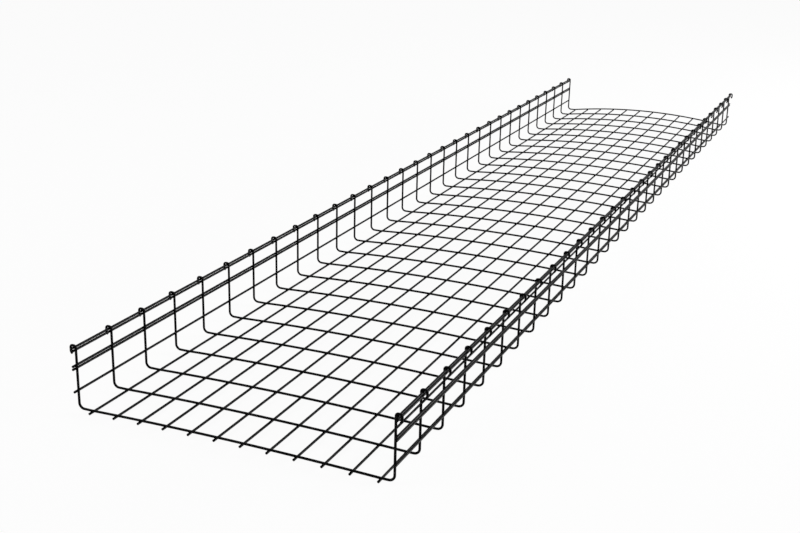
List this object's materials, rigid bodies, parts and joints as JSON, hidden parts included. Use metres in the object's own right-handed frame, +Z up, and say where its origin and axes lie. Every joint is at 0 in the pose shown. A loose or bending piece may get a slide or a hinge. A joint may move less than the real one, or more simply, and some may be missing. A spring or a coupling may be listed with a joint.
{
  "type": "wire mesh cable basket",
  "caption": "Straight length of U-shaped welded wire mesh cable basket with hooked side wires and paired side rails.",
  "frame": {"origin": "centre of the bounding box at the level of the outer floor wires' undersides", "axes": "+X across the basket, +Y along its length, away from the near end, +Z up, towards the hooks"},
  "size_m": [0.6256, 3.014, 0.1269],
  "materials": {
    "floor_wire": "gloss black coating on round steel wire",
    "side_wire": "gloss black coating on round steel wire"
  },
  "bodies": {
    "root": {"floor_mesh": "floor_wire", "left_side": "side_wire", "right_side": "side_wire"}
  },
  "joints": []
}
